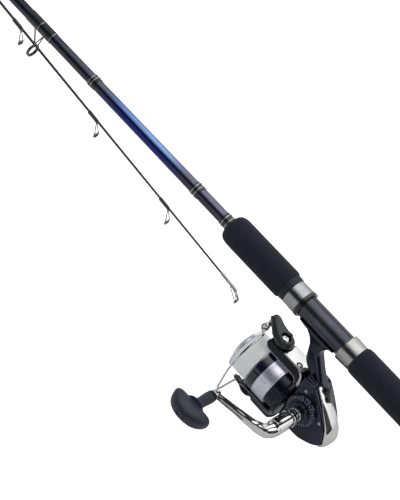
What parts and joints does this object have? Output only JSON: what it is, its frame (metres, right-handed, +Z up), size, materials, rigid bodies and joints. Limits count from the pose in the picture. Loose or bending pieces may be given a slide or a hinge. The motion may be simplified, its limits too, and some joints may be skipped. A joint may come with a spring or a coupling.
{
  "type": "spinning rod and reel",
  "caption": "Two-piece spinning rod with EVA grips, its ringed tip section laid alongside, and a spinning reel with bail, crank and T-shaped knob locked in the seat.",
  "frame": {"origin": "centre of the flat end of the butt cap, on the rod's axis", "axes": "+X along the rod towards its tip, +Z up with the reel hanging below, +Y towards the crank's side"},
  "size_m": [1.7941, 0.1296, 0.2145],
  "materials": {
    "blank_gloss": "polished glass-fibre blank",
    "butt_rubber": "moulded rubber",
    "grip_foam": "sanded EVA foam",
    "seat_slate": "satin moulded plastic",
    "hood_satin": "satin",
    "wrap_lacquer": "thread under clear lacquer",
    "trim_silver": "bright thread and foil",
    "guide_dark": "dark plated wire",
    "guide_silver": "plated wire",
    "ring_ceramic": "polished ceramic",
    "spigot_glass": "ground glass fibre",
    "lip_black": "black plastic",
    "nut_slate": "satin",
    "body_paint": "dark navy metallic paint",
    "chrome_trim": "bright plating",
    "screw_steel": "turned",
    "bearing_steel": "ground",
    "gear_brass": "machined",
    "gear_zinc": "die cast zinc",
    "lever_plastic": "dark grey plastic",
    "crank_chrome": "bright plating",
    "knob_rubber": "soft-touch",
    "cap_plastic": "dark plastic",
    "spool_satin": "satin",
    "band_navy": "navy print",
    "line_nylon": "clear nylon, wound",
    "drag_felt": "felt"
  },
  "bodies": {
    "rod": {"butt_blank": "blank_gloss", "butt_cap": "butt_rubber", "rear_grip": "grip_foam", "seat_tube": "seat_slate", "rear_hood": "hood_satin", "butt_wraps": "wrap_lacquer", "trim_rings": "trim_silver", "butt_guide_frames": "guide_dark", "butt_guide_rings": "ring_ceramic", "spigot": "spigot_glass", "reel_body": "body_paint", "side_cover": "body_paint", "rear_cover": "chrome_trim", "cover_screws": "screw_steel", "crank_bearings": "bearing_steel", "pinion_bearing": "bearing_steel", "roller_clutch": "bearing_steel"},
    "front_hood": {"front_hood": "hood_satin", "hood_lip": "lip_black"},
    "fore_grip": {"fore_grip": "grip_foam", "lock_nut": "nut_slate"},
    "tip_section": {"tip_blank": "blank_gloss", "tip_wraps": "wrap_lacquer", "tip_guide_frames": "guide_silver", "tip_guide_rings": "ring_ceramic", "tip_top_frame": "guide_silver", "tip_top_ring": "ring_ceramic"},
    "crank": {"drive_gear": "gear_zinc", "crank_collar": "crank_chrome", "crank_stem": "crank_chrome", "crank_arm": "crank_chrome", "fold_pin": "screw_steel", "screw_cap": "screw_steel", "knob_pin": "screw_steel"},
    "knob": {"handle_knob": "knob_rubber", "knob_washer": "knob_rubber", "knob_end_cap": "cap_plastic"},
    "rotor": {"rotor": "body_paint", "arm_cover_a": "chrome_trim", "arm_cover_b": "chrome_trim", "arm_cover_screws": "screw_steel", "rotor_nut": "gear_brass", "pinion": "gear_brass"},
    "oscillation_gear": {"oscillation_gear": "gear_brass"},
    "anti_reverse_lever": {"anti_reverse_lever": "lever_plastic"},
    "bail": {"bail_lever": "lever_plastic", "bail_holder": "lever_plastic", "bail_wire": "crank_chrome", "roller_pin": "screw_steel", "bail_screws": "screw_steel"},
    "line_roller": {"line_roller": "crank_chrome"},
    "main_shaft": {"main_shaft": "bearing_steel", "crosswind_block": "gear_brass"},
    "spool": {"spool": "spool_satin", "spool_band": "band_navy", "wound_line": "line_nylon", "drag_washers": "drag_felt"},
    "drag_knob": {"drag_knob": "spool_satin"}
  },
  "joints": [
    {"name": "grip_turn", "type": "hinge", "parent": "front_hood", "child": "fore_grip", "pos_m": [0.42, 0, 0], "axis": [1, 0, 0], "range_deg": [0, 1080]},
    {"name": "hood_slide", "type": "slide", "parent": "rod", "child": "front_hood", "axis": [1, 0, 0], "range_m": [0, 0.009]},
    {"name": "tip_section_lift", "type": "slide", "parent": "rod", "child": "tip_section", "axis": [0, 1, 0], "range_m": [0, 0.1]},
    {"name": "crank_turn", "type": "hinge", "parent": "rod", "child": "crank", "pos_m": [0.315, 0, -0.07], "axis": [0, 1, 0], "continuous": true},
    {"name": "knob_turn", "type": "hinge", "parent": "crank", "child": "knob", "pos_m": [0.36727, 0.088, -0.0814], "axis": [0, 1, 0], "continuous": true},
    {"name": "rotor_turn", "type": "hinge", "parent": "rod", "child": "rotor", "pos_m": [0.345, 0, -0.0787], "axis": [1, 0, 0], "continuous": true},
    {"name": "oscillation_turn", "type": "hinge", "parent": "rod", "child": "oscillation_gear", "pos_m": [0.30173, 0.007, -0.07929], "axis": [0, 1, 0], "continuous": true},
    {"name": "shaft_slide", "type": "slide", "parent": "rod", "child": "main_shaft", "axis": [1, 0, 0], "range_m": [-0.008, 0.006]},
    {"name": "spool_turn", "type": "hinge", "parent": "main_shaft", "child": "spool", "pos_m": [0.365, 0, -0.0787], "axis": [1, 0, 0], "continuous": true},
    {"name": "drag_turn", "type": "hinge", "parent": "main_shaft", "child": "drag_knob", "pos_m": [0.387, 0, -0.0787], "axis": [1, 0, 0], "range_deg": [-360, 360]},
    {"name": "bail_swing", "type": "hinge", "parent": "rotor", "child": "bail", "pos_m": [0.365, 0.001, -0.0787], "axis": [0, 0, 1], "range_deg": [-100, 0]},
    {"name": "roller_turn", "type": "hinge", "parent": "bail", "child": "line_roller", "pos_m": [0.384, 0, -0.0447], "axis": [0, 1, 0], "continuous": true},
    {"name": "anti_reverse_switch", "type": "hinge", "parent": "rod", "child": "anti_reverse_lever", "pos_m": [0.305, 0, -0.0502], "axis": [-0.585, 0, 0.8111], "range_deg": [0, 35]}
  ],
  "couplings": [
    {"joint": "hood_slide", "follows": "grip_turn", "m_per_rad": 0.00047746},
    {"joint": "rotor_turn", "follows": "crank_turn", "ratio": 5.1},
    {"joint": "oscillation_turn", "follows": "crank_turn", "ratio": -0.63636}
  ]
}
